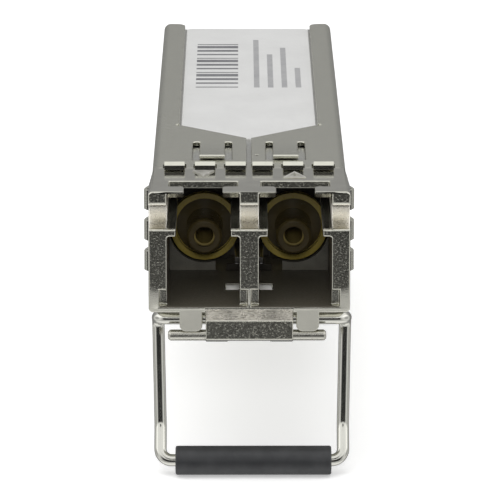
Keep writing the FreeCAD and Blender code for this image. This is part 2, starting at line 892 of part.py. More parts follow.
tx, rx = port_centres()
parts = {
    "nose_base": nose_base(),
    "case_wrap": case_wrap(),
    "inner_lid": inner_lid(),
    "label": label(),
    "osa_holder": osa_holder(),
    "tx_receptacle": receptacle(tx),
    "tx_ferrule_sleeve": ferrule_sleeve(tx),
    "tx_can": optical_can(tx),
    "tx_leads": leads(tx),
    "rx_receptacle": receptacle(rx),
    "rx_ferrule_sleeve": ferrule_sleeve(rx),
    "rx_can": optical_can(rx),
    "rx_leads": leads(rx),
    "circuit_board": circuit_board(),
    "edge_contacts": edge_contacts(),
    "driver_chip": chip(-2 * column, chip_row, driver_size),
    "amplifier_chip": chip(2 * column, chip_row, amplifier_size),
    "controller_chip": chip(0, controller_row, controller_size),
    "capacitors": passives(passive_w, passive_len, capacitor_t, (-3.3, -2.4, 2.4, 3.3),
                           (front_rows, front_rows + row_pitch, rear_rows)),
    "resistors": passives(passive_w, passive_len, resistor_t, (-1, 0, 1),
                          (front_rows, rear_rows, rear_rows + row_pitch)),
    "inductors": passives(inductor_w, inductor_len, inductor_w, (-3, 3), (controller_row,)),
    "latch_lever": latch_lever(),
    "pivot_pin": pivot_pin(),
    "latch_spring": latch_spring(),
    "stop_pin": stop_pin(),
    "bail_wire": bail_wire(),
    "grip_sleeve": grip_sleeve(),
}
os.makedirs("parts", exist_ok=True)
for node, shape in parts.items():
    shape.exportStep("parts/" + node + ".step")
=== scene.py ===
"""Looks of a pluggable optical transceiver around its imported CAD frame, in metres."""

import json
from math import ceil, cos, hypot, pi, radians, sin, sqrt, tan

import bmesh
import bpy
from mathutils import Matrix, Vector


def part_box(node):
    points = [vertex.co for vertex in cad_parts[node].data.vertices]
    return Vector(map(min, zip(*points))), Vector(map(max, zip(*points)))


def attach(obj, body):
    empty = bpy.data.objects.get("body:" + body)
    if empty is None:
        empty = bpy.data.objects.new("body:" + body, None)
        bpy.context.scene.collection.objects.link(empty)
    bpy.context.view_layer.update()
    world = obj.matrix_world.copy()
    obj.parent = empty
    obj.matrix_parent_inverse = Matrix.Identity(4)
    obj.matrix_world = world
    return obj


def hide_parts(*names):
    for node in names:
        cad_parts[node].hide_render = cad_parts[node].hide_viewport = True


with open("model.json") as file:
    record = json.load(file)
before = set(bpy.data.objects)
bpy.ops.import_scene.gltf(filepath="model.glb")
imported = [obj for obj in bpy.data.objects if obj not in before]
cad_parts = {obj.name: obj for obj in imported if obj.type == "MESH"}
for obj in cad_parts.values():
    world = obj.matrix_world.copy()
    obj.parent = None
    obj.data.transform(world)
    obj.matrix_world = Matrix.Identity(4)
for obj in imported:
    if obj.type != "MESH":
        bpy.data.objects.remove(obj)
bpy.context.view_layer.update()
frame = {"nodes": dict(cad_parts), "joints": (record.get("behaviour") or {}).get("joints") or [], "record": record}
nodes = frame["nodes"]
slot_of = {part["node"]: part["material_slot"] for part in frame["record"]["subparts"]}
joint_at = {joint["name"]: Vector(joint["pos_m"]) for joint in frame["joints"]}
scene = bpy.context.scene

MM = 0.001


# Camera, fitted to the photograph
CAMERA_AT = (-0.754 * MM, -276.219 * MM, 75.176 * MM)
CAMERA_PITCH = 14.721
CAMERA_HEADING = 0.170
FOCAL_PIXELS = 4112.72
IMAGE_WIDTH = 500
SENSOR = 36.0
CLIP = (0.01, 20.0)


def add_object(name, data):
    obj = bpy.data.objects.new(name, data)
    scene.collection.objects.link(obj)
    return obj


def add_camera():
    data = bpy.data.cameras.new("camera")
    data.sensor_fit = "HORIZONTAL"
    data.sensor_width = SENSOR
    data.lens = FOCAL_PIXELS * SENSOR / IMAGE_WIDTH
    data.clip_start, data.clip_end = CLIP
    camera = add_object("camera", data)
    camera.location = CAMERA_AT
    camera.rotation_euler = (radians(90 - CAMERA_PITCH), 0, radians(-CAMERA_HEADING))
    scene.camera = camera


# Node helpers, with the places of a colour mix node's sockets
RANGE_SOCKETS = ("From Min", "From Max", "To Min", "To Max")
MIX_FACTOR = 0
MIX_DARK = 6
MIX_LIGHT = 7
MIX_COLOUR = 2
PATCH_DETAIL = 2.0


class Nodes:
    """A node tree with short ways to add and link nodes."""

    def __init__(self, tree):
        self.tree = tree

    def add(self, kind, **settings):
        """A new node, each setting the value of a socket or else a property of the node."""
        node = self.tree.nodes.new(kind)
        for key, value in settings.items():
            if key in node.inputs:
                node.inputs[key].default_value = value
            else:
                setattr(node, key, value)
        return node

    def link(self, out, socket):
        self.tree.links.new(out, socket)

    def math(self, operation, *values):
        node = self.add("ShaderNodeMath", operation=operation)
        for socket, value in zip(node.inputs, values):
            self.link(value, socket)
        return node.outputs[0]

    def ramp(self, value, start, stop, low, high, **settings):
        """A value between start and stop mapped to the span from low to high."""
        node = self.add("ShaderNodeMapRange", **settings)
        self.link(value, node.inputs["Value"])
        for socket, number in zip(RANGE_SOCKETS, (start, stop, low, high)):
            node.inputs[socket].default_value = number
        return node.outputs["Result"]


class Shader(Nodes):
    """A material's node tree around its main shader."""

    def __init__(self, name):
        self.material = bpy.data.materials.new(name)
        self.material.use_nodes = True
        super().__init__(self.material.node_tree)
        self.bsdf = self.tree.nodes["Principled BSDF"]
        self.where = self.add("ShaderNodeTexCoord").outputs["Object"]

    def noise(self, size, detail=3.0, stretch=(1, 1, 1)):
        """Noise whose features are about size millimetres across."""
        scale = self.add("ShaderNodeMapping", Scale=[s / (size * MM) for s in stretch])
        self.link(self.where, scale.inputs["Vector"])
        node = self.add("ShaderNodeTexNoise", Scale=1.0, Detail=detail)
        self.link(scale.outputs["Vector"], node.inputs["Vector"])
        return node.outputs["Fac"]

    def spread(self, noise, low, high, start=0.3, stop=0.7):
        """Noise, which lies mostly between start and stop, mapped to the span from low to high."""
        return self.ramp(noise, start, stop, low, high)

    def patches(self, size):
        """Soft patches from 0 to 1, about size millimetres across."""
        return self.spread(self.noise(size, PATCH_DETAIL), 0, 1)

    def blend(self, value, dark, light):
        """A colour between dark and light by a value from 0 to 1."""
        node = self.add("ShaderNodeMix", data_type="RGBA")
        self.link(value, node.inputs[MIX_FACTOR])
        node.inputs[MIX_DARK].default_value = (*dark, 1)
        node.inputs[MIX_LIGHT].default_value = (*light, 1)
        return node.outputs[MIX_COLOUR]

    def colour(self, out):
        self.link(out, self.bsdf.inputs["Base Color"])

    def rough(self, out):
        self.link(out, self.bsdf.inputs["Roughness"])

    def bump(self, height, depth):
        """Bump whose full height is depth millimetres."""
        node = self.add("ShaderNodeBump", Strength=1.0, Distance=depth * MM)
        self.link(height, node.inputs["Height"])
        self.link(node.outputs["Normal"], self.bsdf.inputs["Normal"])


# Kinds of material: patches as multiples of the grain, and the spread of the roughness
METAL_DETAIL = 4.0
METAL_PATCH = 14
METAL_SPREAD = (0.75, 1.3)
SPECK_RANGE = (0.58, 0.74)
RESIN_PATCH = 9
RESIN_SPREAD = (0.8, 1.25)


def shade(colour, factor):
    return tuple(min(1.0, c * factor) for c in colour)


def metal(name, colour, rough, grain, depth, stretch=(1, 1, 1), contrast=0.05, specks=False):
    """Plated metal: a fine grain in its relief, or scattered specks, with uneven gloss and colour."""
    s = Shader(name)
    s.bsdf.inputs["Metallic"].default_value = 1.0
    fine = s.noise(grain, METAL_DETAIL, stretch)
    dark = shade(colour, 1 - contrast)
    light = shade(colour, 1 + contrast / 2)
    s.colour(s.blend(s.patches(grain * METAL_PATCH), dark, light))
    s.rough(s.spread(fine, *(rough * share for share in METAL_SPREAD)))
    s.bump(s.spread(fine, 0, 1, *SPECK_RANGE) if specks else fine, depth)
    return s.material


def resin(name, dark, light, rough, grain, depth, coat=0.0):
    """Moulded plastic with a faint grain and mottled colour."""
    s = Shader(name)
    fine = s.noise(grain)
    s.colour(s.blend(s.patches(grain * RESIN_PATCH), dark, light))
    s.rough(s.spread(fine, *(rough * share for share in RESIN_SPREAD)))
    s.bump(fine, depth)
    s.bsdf.inputs["Coat Weight"].default_value = coat
    return s.material


# Painted shade inside the ports, with the heights where its band of painted light fades in and out
PORT_PAINTED_SHADE = (0.092, 0.083, 0.064)
PORT_PAINTED_LIGHT = (0.84, 0.80, 0.72)
LIT_BAND_LOW = (5.6 * MM, 6.1 * MM)
LIT_BAND_HIGH = (6.9 * MM, 7.5 * MM)
PORT_ROUGH = (0.36, 0.5)
PORT_GRAIN = 0.12
PORT_RELIEF = 0.004


def painted_port_shade_and_light():
    """Inside of the ports: painted shade, and a band of painted light on the wall where the scoops open to the
    light, with painted shade again above it under the roof lips.
    """
    s = Shader("painted_port_shade_and_light")
    place = s.add("ShaderNodeSeparateXYZ")
    s.link(s.where, place.inputs[0])
    height = place.outputs["Z"]
    band = s.math("MULTIPLY", s.ramp(height, *LIT_BAND_LOW, 0, 1), s.ramp(height, *LIT_BAND_HIGH, 1, 0))
    s.colour(s.blend(band, PORT_PAINTED_SHADE, PORT_PAINTED_LIGHT))
    fine = s.noise(PORT_GRAIN)
    s.rough(s.spread(fine, *PORT_ROUGH))
    s.bump(fine, PORT_RELIEF)
    return s.material


# Finishes by the record's slots and then by zones: colour, roughness, grain and relief in millimetres
finishes = {
    "nose_plating": metal("cast_nickel", (0.67, 0.66, 0.585), 0.17, 0.07, 0.006),
    "case_plating": metal("sheet_nickel", (0.69, 0.685, 0.60), 0.24, 0.05, 0.002, stretch=(6, 1, 1)),
    "lid_metal": metal("lid_plate", (0.60, 0.60, 0.57), 0.30, 0.08, 0.003),
    "lever_steel": metal("lever_steel", (0.72, 0.71, 0.67), 0.38, 0.08, 0.004),
    "pin_steel": metal("pin_steel", (0.58, 0.57, 0.51), 0.26, 0.30, 0.002),
    "spring_steel": metal("spring_steel", (0.50, 0.50, 0.50), 0.25, 0.06, 0.002),
    "bail_steel": metal("bail_steel", (0.66, 0.655, 0.60), 0.15, 0.35, 0.002, stretch=(1, 1, 0.2)),
    "can_gold": metal("can_gold", (0.80, 0.62, 0.30), 0.22, 0.08, 0.002),
    "lead_gold": metal("lead_gold", (0.82, 0.64, 0.32), 0.20, 0.08, 0.002),
    "contact_gold": metal("contact_gold", (0.85, 0.66, 0.28), 0.18, 0.05, 0.001),
    "holder_plastic": resin("holder_resin", (0.02, 0.018, 0.014), (0.035, 0.031, 0.024), 0.45, 0.12, 0.004),
    "receptacle_resin": resin("amber_resin", (0.40, 0.31, 0.07), (0.49, 0.38, 0.09),
                              0.30, 0.15, 0.003, coat=0.4),
    "sleeve_ceramic": resin("sleeve_ceramic", (0.26, 0.20, 0.065), (0.34, 0.26, 0.085), 0.20, 0.10, 0.001),
    "board_laminate": resin("solder_mask", (0.03, 0.14, 0.05), (0.045, 0.19, 0.075),
                            0.35, 0.30, 0.004, coat=0.3),
    "chip_resin": resin("chip_resin", (0.02, 0.02, 0.022), (0.035, 0.035, 0.038), 0.55, 0.10, 0.004),
    "capacitor_ceramic": resin("tan_ceramic", (0.34, 0.24, 0.14), (0.46, 0.34, 0.21), 0.45, 0.15, 0.002),
    "resistor_film": resin("resistor_film", (0.02, 0.02, 0.025), (0.05, 0.05, 0.06), 0.35, 0.15, 0.002),
    "inductor_ferrite": resin("ferrite", (0.10, 0.10, 0.11), (0.17, 0.17, 0.18), 0.5, 0.15, 0.003),
    "grip_rubber": resin("grip_rubber", (0.025, 0.026, 0.028), (0.038, 0.039, 0.041), 0.42, 0.10, 0.006),
    "label_film": resin("label_film", (0.70, 0.70, 0.69), (0.74, 0.74, 0.73), 0.45, 0.40, 0.001),
    "cast_front": metal("cast_front", (0.60, 0.59, 0.515), 0.18, 0.13, 0.0065, specks=True),
    "roof_skin": metal("roof_skin", (0.67, 0.66, 0.585), 0.10, 0.07, 0.003),
    # paler colour in the scoops: painted highlight
    "scoop_painted_highlight": metal("scoop_painted_highlight", (0.90, 0.87, 0.79), 0.30, 0.12, 0.004),
    "brow_skin": metal("brow_skin", (0.62, 0.59, 0.52), 0.30, 0.16, 0.20,
                       stretch=(0.35, 1, 1), contrast=0.4),
    "mark_skin": resin("mark_skin", (0.28, 0.27, 0.24), (0.50, 0.49, 0.45), 0.40, 0.09, 0.03, coat=0.3),
    # painted shade inside the ports, with a band of painted light on their walls
    "port_painted_shade_and_light": painted_port_shade_and_light(),
    # dark colour on the finger fronts: painted dark reflection
    "finger_front_painted_shade": metal("finger_front_painted_shade", (0.19, 0.185, 0.165), 0.22, 0.06, 0.002),
    # pale colour at the lever's eye: painted highlight
    "eye_painted_highlight": resin("eye_painted_highlight", (0.60, 0.59, 0.55), (0.95, 0.94, 0.90), 0.35, 0.12, 0.03, coat=0.3),
    "barrel_resin": resin("barrel_resin", (0.068, 0.051, 0.019), (0.088, 0.066, 0.026),
                          0.22, 0.15, 0.002, coat=0.6),
    "ledge_skin": resin("ledge_skin", (0.12, 0.114, 0.094), (0.16, 0.152, 0.126),
                        0.32, 0.12, 0.003, coat=0.3),
    "bar_ink": resin("bar_ink", (0.13, 0.13, 0.14), (0.20, 0.20, 0.21), 0.5, 0.30, 0.001),
    "strip_ink": resin("strip_ink", (0.34, 0.34, 0.35), (0.42, 0.42, 0.42), 0.5, 0.30, 0.001),
}


# Surroundings by direction: a pair is where a soft step starts and ends, and a gain scales the light
SOFT_LIGHT = 0.78
SKY_EDGE = (0.1, 0.45)
SKY_LEVELS = (0.72, 1.35)
GROUND_EDGE = (-0.58, -0.74)
GROUND_GAIN = 1.9
SIDE_EDGE = (0.70, 0.90)
SIDE_GAIN = 1.5
FAR_SIDE_EDGE = (0.91, 0.99)
FAR_SIDE_GAIN = 0.55
SCREEN_SIDES = (-0.62, -0.84)
SCREEN_LOW = (-0.37, -0.285)
SCREEN_HIGH = (0.34, 0.20)
CARD_SIDES = (-0.95, -0.985)
CARD_LOW = (0.42, 0.50)
CARD_HIGH = (0.76, 0.66)
SCREEN_GAIN = 0.05
WALL_SIDES = (0.2, 0.8)
WALL_HIGH = (0.70, 0.35)
WALL_GAIN = 0.46
WALL_BAND = (0.28, 0.34)
WALL_BAND_GAIN = 0.85


class Sky(Nodes):
    """The world's node tree."""

    def __init__(self, name):
        world = bpy.data.worlds.new(name)
        world.use_nodes = True
        scene.world = world
        super().__init__(world.node_tree)
        self.tree.nodes.clear()

    def product(self, first, *others):
        for other in others:
            first = self.math("MULTIPLY", first, other)
        return first

    def step(self, value, edge, low=0.0, high=1.0):
        """A soft step from low to high as the value crosses an edge."""
        return self.ramp(value, *edge, low, high, interpolation_type="SMOOTHSTEP")

    def gain(self, mask, level):
        """One outside a mask, and the level inside it."""
        return self.step(mask, (0.0, 1.0), 1.0, level)

    def background(self, strength):
        node = self.add("ShaderNodeBackground")
        if isinstance(strength, float):
            node.inputs["Strength"].default_value = strength
        else:
            self.link(strength, node.inputs["Strength"])
        return node.outputs[0]

    def mix(self, factor, first, second):
        node = self.add("ShaderNodeMixShader")
        for socket, out in zip(node.inputs, (factor, first, second)):
            self.link(out, socket)
        return node.outputs[0]


def studio_world():
    """White to the camera, an even light to matt faces, and to metal a room with a screen and a wall.

    The room is pale. A dark screen, with a small dark card above it, stands in front of the object, and a
    grey wall stands behind it.
    """
    sky = Sky("studio")
    way = sky.add("ShaderNodeSeparateXYZ")
    sky.link(sky.add("ShaderNodeTexCoord").outputs["Generated"], way.inputs[0])
    x, y, z = way.outputs
    level = sky.math("SQRT", sky.math("ADD", sky.product(x, x), sky.product(y, y)))
    ahead = sky.math("DIVIDE", y, level)
    aside = sky.math("ABSOLUTE", x)
    screen = sky.product(sky.step(ahead, SCREEN_SIDES), sky.step(z, SCREEN_LOW), sky.step(z, SCREEN_HIGH))
    card = sky.product(sky.step(ahead, CARD_SIDES), sky.step(z, CARD_LOW), sky.step(z, CARD_HIGH))
    wall = sky.product(sky.step(ahead, WALL_SIDES), sky.step(z, WALL_HIGH))
    room = sky.product(
        sky.step(z, SKY_EDGE, *SKY_LEVELS),
        sky.step(z, GROUND_EDGE, 1.0, GROUND_GAIN),
        sky.step(aside, SIDE_EDGE, 1.0, SIDE_GAIN),
        sky.step(aside, FAR_SIDE_EDGE, 1.0, FAR_SIDE_GAIN),
        sky.gain(wall, WALL_GAIN),
        sky.gain(sky.product(wall, sky.step(z, WALL_BAND)), WALL_BAND_GAIN),
        sky.gain(sky.math("MAXIMUM", screen, card), SCREEN_GAIN),
    )
    rays = sky.add("ShaderNodeLightPath").outputs
    shiny = sky.math("MAXIMUM", rays["Is Glossy Ray"], rays["Is Transmission Ray"])
    lit = sky.mix(shiny, sky.background(SOFT_LIGHT), sky.background(room))
    seen = sky.mix(rays["Is Camera Ray"], lit, sky.background(1.0))
    sky.link(seen, sky.add("ShaderNodeOutputWorld").inputs[0])


# Floor and lamps
FLOOR_Z = -11.66 * MM
FLOOR_HALF = 3.0
FLOOR_PATCH = 40.0
FLOOR_DARK = (0.97, 0.97, 0.97)
FLOOR_LIGHT = (0.985, 0.985, 0.985)
FLOOR_ROUGH = 0.9
FLOOR_LIFT = 0.32


def add_floor():
    """A pale matt floor that metal doesn't show, lifted towards white for the camera alone."""
    square = ((-1, -1), (1, -1), (1, 1), (-1, 1))
    mesh = bpy.data.meshes.new("floor")
    mesh.from_pydata([(x * FLOOR_HALF, y * FLOOR_HALF, FLOOR_Z) for x, y in square], [], [(0, 1, 2, 3)])
    floor = add_object("floor", mesh)
    s = Shader("pale_floor")
    s.colour(s.blend(s.patches(FLOOR_PATCH), FLOOR_DARK, FLOOR_LIGHT))
    s.bsdf.inputs["Roughness"].default_value = FLOOR_ROUGH
    s.bsdf.inputs["Specular IOR Level"].default_value = 0.0
    s.bsdf.inputs["Emission Color"].default_value = (FLOOR_LIFT, FLOOR_LIFT, FLOOR_LIFT, 1)
    s.link(s.add("ShaderNodeLightPath").outputs["Is Camera Ray"], s.bsdf.inputs["Emission Strength"])
    mesh.materials.append(s.material)
    floor.visible_glossy = False


def add_lamp(name, at, aim, size, power):
    """A round lamp that lights without showing in the metal."""
    data = bpy.data.lights.new(name, "AREA")
    data.shape = "DISK"
    data.size = size
    data.energy = power
    lamp = add_object(name, data)
    lamp.location = at
    lamp.rotation_euler = (Vector(aim) - Vector(at)).to_track_quat("-Z", "Y").to_euler()
    lamp.visible_glossy = False


# Pieces made from the frame's own meshes
WELD = 1e-6
PLANAR = radians(0.6)
SHARP = radians(28)
FLAT_COS = cos(radians(1.5))
NEAR_COS = cos(radians(8))
NEAR_FLAT = 0.02 * MM
LARGE_FLAT = 10.0 * MM * MM
ROUNDED = 1


def merged(node):
    """The node's mesh as one closed surface with few faces on each flat."""
    bm = bmesh.new()
    bm.from_mesh(nodes[node].data)
    bmesh.ops.remove_doubles(bm, verts=bm.verts, dist=WELD)
    bmesh.ops.dissolve_limit(bm, angle_limit=PLANAR, verts=bm.verts, edges=bm.edges)
    bmesh.ops.triangulate(bm, faces=[f for f in bm.faces if len(f.verts) > 4])
    return bm


def as_piece(name, bm, node, body, finish=None):
    """A new piece on a body, with the slot of a CAD node and that slot's finish or another."""
    mesh = bpy.data.meshes.new(name)
    bm.to_mesh(mesh)
    bm.free()
    piece = add_object(name, mesh)
    mesh.materials.append(finishes[finish or slot_of[node]])
    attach(piece, body)
    return piece


def flats_of(bm):
    """The faces in groups, each group one flat."""
    flats = []
    placed = set()
    for start in bm.faces:
        if start in placed:
            continue
        flat = [start]
        placed.add(start)
        for face in flat:
            beside = [other for edge in face.edges for other in edge.link_faces]
            for other in beside:
                if other not in placed and other.normal.dot(start.normal) > FLAT_COS:
                    placed.add(other)
                    flat.append(other)
        flats.append(flat)
    return flats


def surface_normals(mesh):
    """A normal for each vertex, led by the largest flats that meet there and not by the rounded faces."""
    bm = bmesh.new()
    bm.from_mesh(mesh)
    facing = {}
    planes = []
    for flat in flats_of(bm):
        whole = sum((face.normal * face.calc_area() for face in flat), Vector())
        facing.update((face, whole) for face in flat)
        if whole.length > LARGE_FLAT:
            planes.append((whole.normalized(), flat[0].calc_center_median()))
    normals = []
    for vert in bm.verts:
        faces = [f for f in vert.link_faces if f.material_index != ROUNDED] or vert.link_faces
        normal = sum((facing[f] for f in faces), Vector()).normalized()
        for plane, point in planes:
            if normal.dot(plane) > NEAR_COS and abs((vert.co - point).dot(plane)) < NEAR_FLAT:
                normal = plane
        normals.append(normal)
    bm.free()
    return normals


def rounded_edges(piece, width, segments):
    """The piece's weighted edges rounded by up to width millimetres, the new faces in their own slot."""
    piece.data.materials.append(None)
    bevel = piece.modifiers.new("rounding", "BEVEL")
    bevel.width = width * MM
    bevel.segments = segments
    bevel.limit_method = "WEIGHT"
    bevel.use_clamp_overlap = False
    bevel.loop_slide = False
    bevel.material = ROUNDED
    mesh = bpy.data.meshes.new_from_object(piece.evaluated_get(bpy.context.evaluated_depsgraph_get()))
    piece.modifiers.clear()
    piece.data = mesh
    return mesh


def softened(name, node, body, width, segments=2, share=None):
    """The node's own shape, its flats left flat and its sharp edges rounded by a width or a share of it."""
    bm = merged(node)
    weight = bm.edges.layers.float.new("bevel_weight_edge")
    for edge in bm.edges:
        if edge.is_manifold and edge.calc_face_angle() > SHARP:
            edge[weight] = share(edge) if share else 1.0
    piece = as_piece(name, bm, node, body)
    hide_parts(node)
    mesh = rounded_edges(piece, width, segments)
    normals = surface_normals(mesh)
    for face in mesh.polygons:
        face.use_smooth = True
        face.material_index = 0
    mesh.materials.pop(index=ROUNDED)
    mesh.normals_split_custom_set_from_vertices(normals)
    return piece


def paint(piece, finish, chosen):
    """Another finish on the faces that a test picks."""
    piece.data.materials.append(finishes[finish])
    last = len(piece.data.materials) - 1
    for face in piece.data.polygons:
        if chosen(face):
            face.material_index = last


def within(value, span):
    return span[0] < value < span[1]


# Nose: zones in millimetres, how far a face turns to an axis, and shares of the widest rounding
NOSE_FRONT = -6.9
FRONT_BACK = NOSE_FRONT + 0.1
FRONT_EDGE_BACK = NOSE_FRONT + 0.03
RIB_BACK = NOSE_FRONT + 0.2
FRONT_LOW = 1.7
PORT_X = (0.64, 5.62)
PORT_Y = (-6.75, 3.2)
PORT_Z = (0.38, 8.2)
PORT_TOP = 5.45
BROW_HALF = 3.0
BROW_Z = (-0.42, 0.31)
BROW_BACK = -6.7
EAR_X = (3.1, 4.85)
SILL_Z = (5.85, 6.05)
SCOOP_Z = (5.9, 7.65)
SCOOP_TOP_Z = (7.45, 7.55)
SCOOP_BACK = -5.2
ROOF_EDGE_Z = (7.9, 8.2)
LIP_LOW = 8.4
LIP_BACK = -5.2
MARK_LOW = 8.53
MARK_FRONT = -3.2
FACING = 0.9
LEVEL = 0.98
BROW_TURN = 0.3
SCOOP_TURN = 0.1
NOSE_EDGE = 0.28
NOSE_SEGMENTS = 3
SILL_SHARE = 0.72
RIM_SHARE = 0.46
RIB_SHARE = 0.42
PLAIN_SHARE = 0.3
EAR_SHARE = 0.18
LIP_SHARE = 0.15


def nose_share(edge):
    """Rounding of the nose's edges: wide round the front, narrow on the lips, marks and ears."""
    ends = [v.co / MM for v in edge.verts]
    inside = all(within(abs(p.x), PORT_X) for p in ends)
    lip = inside and all(p.y < LIP_BACK and p.z > LIP_LOW for p in ends)
    mark = all(p.y > MARK_FRONT and p.z > LIP_LOW for p in ends)
    roof = all(within(p.z, ROOF_EDGE_Z) for p in ends)
    if lip or mark or roof:
        return LIP_SHARE
    if all(p.z < PORT_Z[0] and within(abs(p.x), EAR_X) for p in ends):
        return EAR_SHARE
    if all(p.y < FRONT_EDGE_BACK for p in ends):
        if all(within(p.z, SILL_Z) for p in ends):
            return SILL_SHARE
        if all(within(p.z, SCOOP_TOP_Z) for p in ends):
            return 1.0
        if all(p.z > FRONT_LOW for p in ends):
            return RIM_SHARE
    if all(p.y < RIB_BACK and p.z > PORT_Z[0] for p in ends):
        return RIB_SHARE
    return PLAIN_SHARE


def is_front(face):
    x, y, z = face.center / MM
    block = abs(x) < BROW_HALF and z < BROW_Z[0] and y < FRONT_BACK
    upper = z > FRONT_LOW and y < FRONT_BACK
    return face.normal.y < -FACING and (upper or block or z > ROOF_EDGE_Z[0])


def is_roof(face):
    return within(face.center.z / MM, (ROOF_EDGE_Z[1], MARK_LOW)) and face.normal.z > LEVEL


def in_port(face):
    x, y, z = face.center / MM
    inside = within(abs(x), PORT_X) and within(y, PORT_Y) and within(z, PORT_Z)
    return inside and (z < PORT_TOP or abs(face.normal.x) > FACING)


def is_brow(face):
    x, y, z = face.center / MM
    return abs(x) < BROW_HALF and within(z, BROW_Z) and y < BROW_BACK and face.normal.z > BROW_TURN


def is_mark(face):
    return face.center.z / MM > MARK_LOW


def in_scoop(face):
    y, z = face.center.yz / MM
    return y < SCOOP_BACK and within(z, SCOOP_Z) and abs(face.normal.z) > SCOOP_TURN


def add_nose():
    piece = softened("nose_casting", "nose_base", "module", NOSE_EDGE, NOSE_SEGMENTS, nose_share)
    paint(piece, "cast_front", is_front)
    paint(piece, "roof_skin", is_roof)
    # painted shade on the inside of the ports, with a band of painted light on their walls
    paint(piece, "port_painted_shade_and_light", in_port)
    paint(piece, "brow_skin", is_brow)
    paint(piece, "mark_skin", is_mark)
    # painted highlight in the scoops and on the ceiling of the land above them
    paint(piece, "scoop_painted_highlight", in_scoop)


# Case: zones in millimetres, how far a face turns to an axis, and shares of the widest rounding
TONGUE_X = (1.1, 4.0)
TONGUE_Y = (2.3, 8.0)
TONGUE_LOW = 8.25
TIP_BACK = 2.6
TIP_LOW = 8.85
FINGER_BACK = -0.6
FINGER_TURN = 0.8
PINHOLE = (0.55, 3.9)
PINHOLE_REACH = 0.16
PINHOLE_TURN = 0.3
CASE_FLOOR = 0.34
CASE_FLOOR_HALF = 6.0
CASE_EDGE = 0.2
TONGUE_SHARE = 0.4
SHEET_SHARE = 0.15


def on_tongue(point):
    return within(abs(point.x), TONGUE_X) and within(point.y, TONGUE_Y) and point.z > TONGUE_LOW


def case_share(edge):
    """Rounding of the sheet's edges, wider on the lifted tongues and widest at their tips."""
    ends = [v.co / MM for v in edge.verts]
    if not all(on_tongue(p) for p in ends):
        return SHEET_SHARE
    if all(p.y < TIP_BACK for p in ends):
        return 1.0 if all(p.z > TIP_LOW for p in ends) else SHEET_SHARE
    return TONGUE_SHARE


def is_shaded(face):
    """The case's floor under the optics and the wall of its pinhole, which take painted shade."""
    x, y, z = face.center / MM
    floor = z < CASE_FLOOR and face.normal.z > FACING and abs(x) < CASE_FLOOR_HALF
    pinhole = hypot(x - PINHOLE[0], y - PINHOLE[1]) < PINHOLE_REACH and abs(face.normal.z) < PINHOLE_TURN
    return floor or pinhole


def is_finger_front(face):
    return face.center.y / MM < FINGER_BACK and face.normal.y < -FINGER_TURN


def add_case():
    piece = softened("case_sheet", "case_wrap", "module", CASE_EDGE, share=case_share)
    # painted shade on the case's floor under the optics and on the wall of its pinhole
    paint(piece, "port_painted_shade_and_light", is_shaded)
    # painted dark reflection on the fronts of the case's fingers
    paint(piece, "finger_front_painted_shade", is_finger_front)


# Lever, receptacles and other softened pieces, their edges in millimetres
FINE_EDGE = 0.04
PLATE_EDGE = 0.06
GRIP_EDGE = 0.12
EYE_REACH = 0.6 * MM
BARREL_R = 1.7 * MM


def add_lever():
    """The latch lever, with a painted highlight at the eye round its pivot."""
    pivot = joint_at["lever_pivot"]
    piece = softened("lever_stamping", "latch_lever", "lever", FINE_EDGE)
    # painted highlight on the eye round the pivot
    paint(piece, "eye_painted_highlight", lambda face: abs(face.center.y - pivot.y) < EYE_REACH)


def add_receptacle(side):
    """A fibre receptacle, its ring amber and its barrel dark."""
    node = side + "_receptacle"
    low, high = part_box(node)
    x = (low[0] + high[0]) / 2
    z = (low[2] + high[2]) / 2
    piece = softened(side + "_receptacle_turned", node, "module", FINE_EDGE)
    radii = [hypot(v.co.x - x, v.co.z - z) for v in piece.data.vertices]
    paint(piece, "barrel_resin", lambda face: min(radii[v] for v in face.vertices) < BARREL_R)


def add_slab(bm, outline, way):
    """A closed slab between an outline and its copy moved some way."""
    near = [bm.verts.new(point) for point in outline]
    far = [bm.verts.new(Vector(point) + Vector(way)) for point in outline]
    bm.faces.new(near)
    bm.faces.new(far[::-1])
    for i in range(len(near)):
        j = (i + 1) % len(near)
        bm.faces.new((near[j], near[i], far[i], far[j]))


# Ledges of the holder below the rings
LEDGE_X = (2.35 * MM, 5.56 * MM)
LEDGE_Y = (3.2 * MM, 3.55 * MM)
LEDGE_LOW = 0.33 * MM
NOTCH_X = 3.125 * MM
NOTCH_Z = 3.42 * MM
NOTCH_R = 2.52 * MM
NOTCH_STEPS = 12


def ledge_outline():
    """The right ledge's outline (x, z): a low plate with a round notch in its top."""
    outline = [(LEDGE_X[1], LEDGE_LOW), (LEDGE_X[0], LEDGE_LOW)]
    for i in range(NOTCH_STEPS + 1):
        x = LEDGE_X[0] + (LEDGE_X[1] - LEDGE_X[0]) * i / NOTCH_STEPS
        outline.append((x, NOTCH_Z - sqrt(NOTCH_R ** 2 - (x - NOTCH_X) ** 2)))
    return outline


def add_ledges():
    bm = bmesh.new()
    for side in (-1, 1):
        outline = [(side * x, LEDGE_Y[0], z) for x, z in ledge_outline()]
        add_slab(bm, outline, (0, LEDGE_Y[1] - LEDGE_Y[0], 0))
    bmesh.ops.recalc_face_normals(bm, faces=bm.faces)
    as_piece("holder_ledges", bm, "osa_holder", "module", "ledge_skin")


